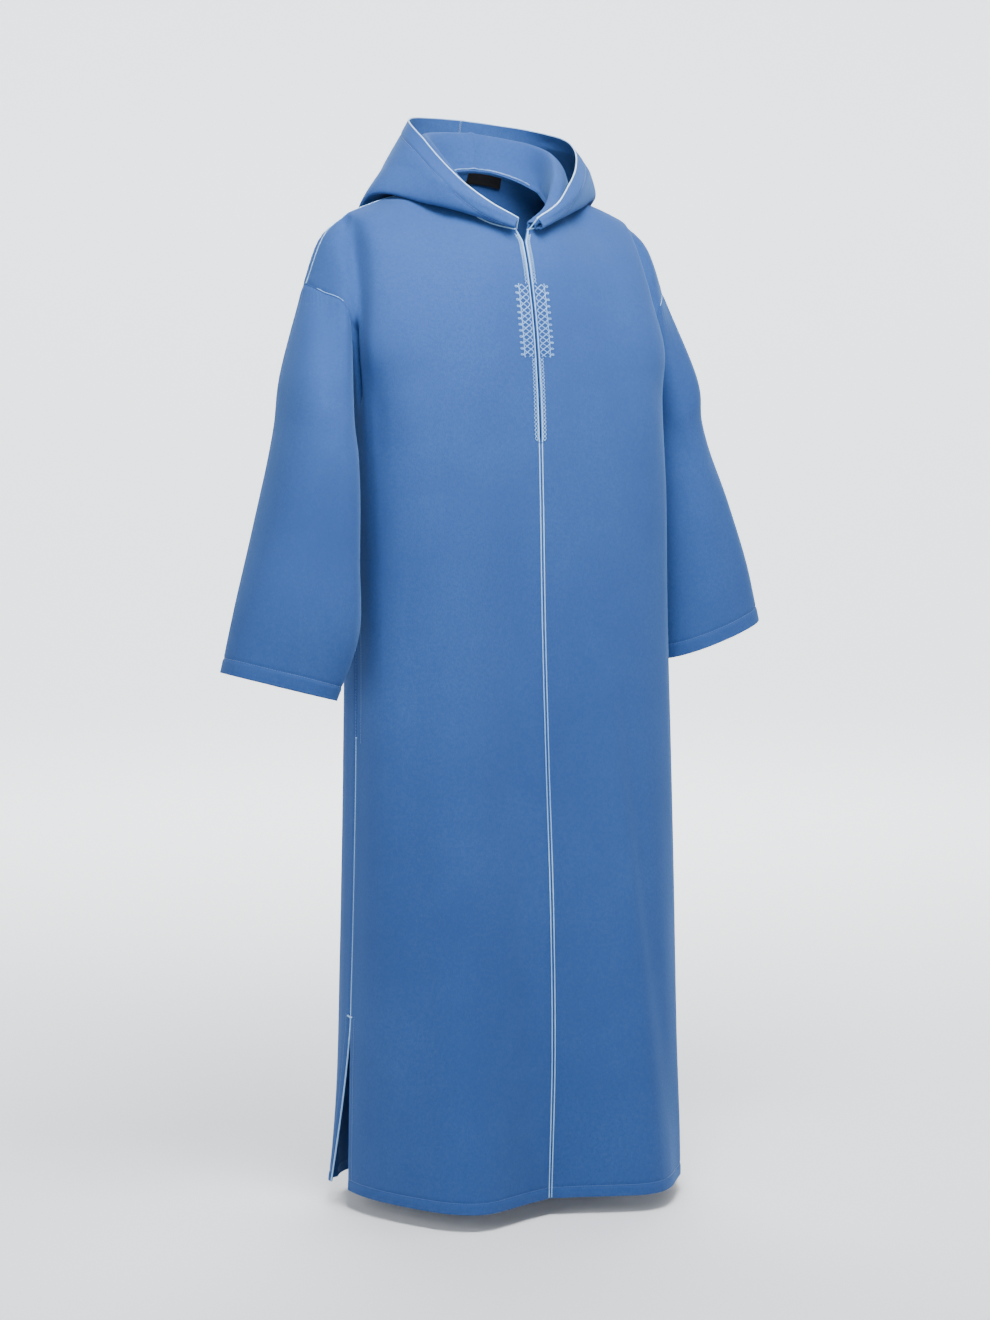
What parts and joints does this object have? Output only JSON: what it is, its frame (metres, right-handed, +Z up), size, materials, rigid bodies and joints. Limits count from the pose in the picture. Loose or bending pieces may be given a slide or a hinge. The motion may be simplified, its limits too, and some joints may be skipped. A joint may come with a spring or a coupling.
{
  "type": "hooded djellaba robe",
  "caption": "Long hooded robe with wide sleeves, braided front and side slits, filled out as worn with no wearer.",
  "frame": {"origin": "base of the neck, midway between the shoulder points, where the wearer holds the robe up", "axes": "+Z up, -Y to the robe's front, +X to the wearer's left"},
  "size_m": [0.85, 0.3819, 1.5069],
  "materials": {
    "cloth": "brushed felted blue wool",
    "braid": "pale blue satin braid",
    "label": "plain woven label"
  },
  "bodies": {
    "root": {"front_right": "cloth", "front_left": "cloth", "back": "cloth", "sleeve_right": "cloth", "sleeve_left": "cloth", "hood_right": "cloth", "hood_left": "cloth", "braid_front_right": "braid", "slit_edge_right": "braid", "worked_panel_right": "braid", "hood_edge_right": "braid", "shoulder_cord_right": "braid", "side_edge_right": "braid", "braid_front_left": "braid", "slit_edge_left": "braid", "worked_panel_left": "braid", "hood_edge_left": "braid", "shoulder_cord_left": "braid", "side_edge_left": "braid", "neck_label": "label"}
  },
  "joints": []
}
